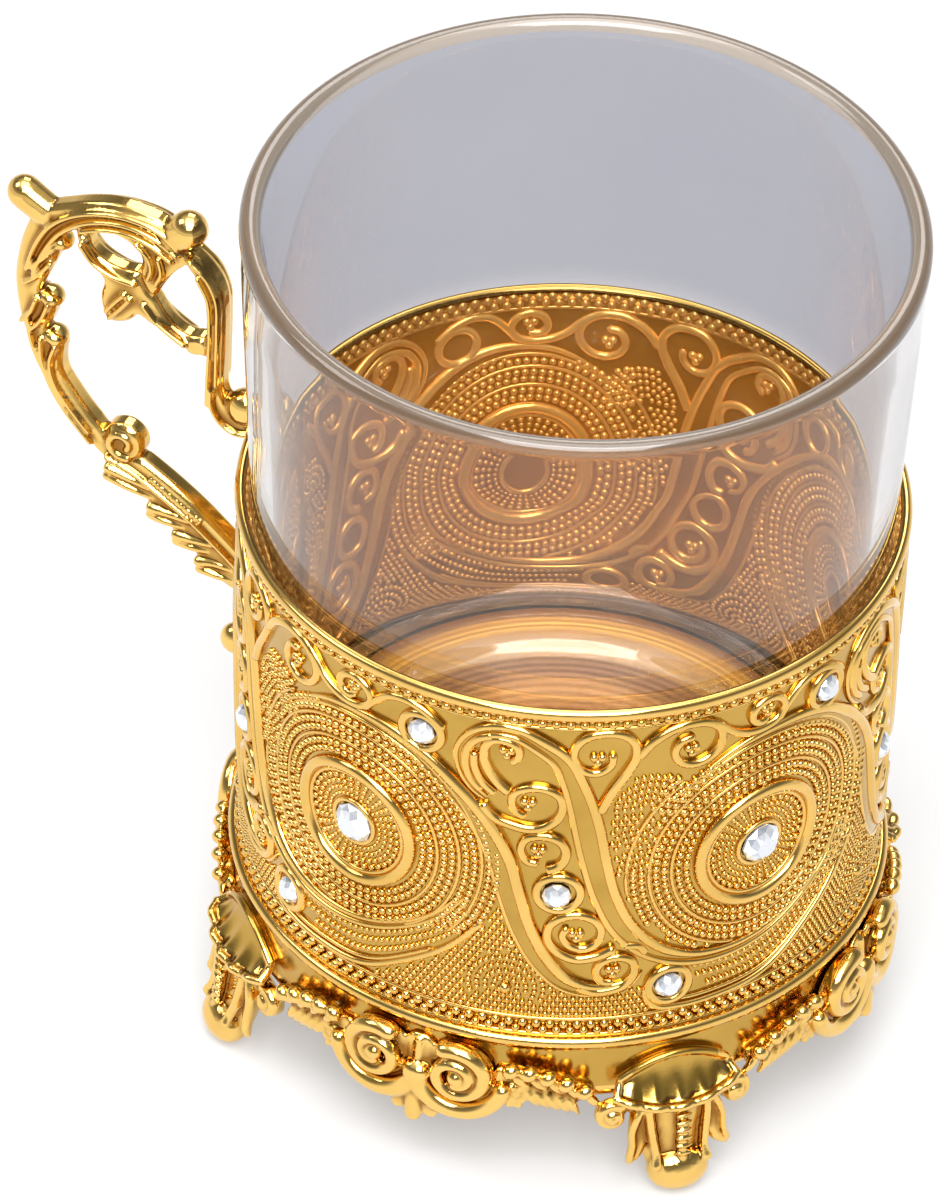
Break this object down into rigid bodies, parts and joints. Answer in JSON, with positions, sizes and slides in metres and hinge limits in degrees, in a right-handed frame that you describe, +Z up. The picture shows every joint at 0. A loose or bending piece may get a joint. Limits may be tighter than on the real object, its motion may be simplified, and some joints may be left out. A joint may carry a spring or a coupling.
{
  "type": "tea glass holder with tumbler",
  "caption": "Footed gilt holder with an embossed, stone-set sleeve and an openwork handle, carrying a clear tapered glass that lifts out.",
  "frame": {"origin": "on the floor, under the middle of the whole outline", "axes": "+Z up along the cup's axis, handle towards -X, right-handed"},
  "size_m": [0.1062, 0.0772, 0.1044],
  "materials": {
    "clear_glass": "polished",
    "gilt_sheet": "polished relief",
    "gilt_cast": "polished",
    "crystal": "faceted"
  },
  "bodies": {
    "holder": {"sleeve": "gilt_sheet", "sleeve_lip": "gilt_cast", "base_ring": "gilt_cast", "base_plate": "gilt_sheet", "handle": "gilt_cast", "foot_1": "gilt_cast", "foot_2": "gilt_cast", "foot_3": "gilt_cast", "foot_4": "gilt_cast", "scroll_mount_1": "gilt_cast", "scroll_mount_2": "gilt_cast", "scroll_mount_3": "gilt_cast", "scroll_mount_4": "gilt_cast", "leaf_garland_1": "gilt_cast", "leaf_garland_2": "gilt_cast", "leaf_garland_3": "gilt_cast", "leaf_garland_4": "gilt_cast", "leaf_garland_5": "gilt_cast", "leaf_garland_6": "gilt_cast", "leaf_garland_7": "gilt_cast", "leaf_garland_8": "gilt_cast", "stone_large_1": "crystal", "stone_large_2": "crystal", "stone_large_3": "crystal", "stone_large_4": "crystal", "stone_top_1": "crystal", "stone_top_2": "crystal", "stone_top_3": "crystal", "stone_top_4": "crystal", "stone_top_5": "crystal", "stone_middle_1": "crystal", "stone_middle_2": "crystal", "stone_middle_3": "crystal", "stone_middle_4": "crystal", "stone_middle_5": "crystal", "stone_low_1": "crystal", "stone_low_2": "crystal", "stone_low_3": "crystal", "stone_low_4": "crystal"},
    "glass": {"glass_tumbler": "clear_glass"}
  },
  "joints": [
    {"name": "glass_lift", "type": "slide", "parent": "holder", "child": "glass", "axis": [0, 0, 1], "range_m": [0, 0.06]}
  ]
}
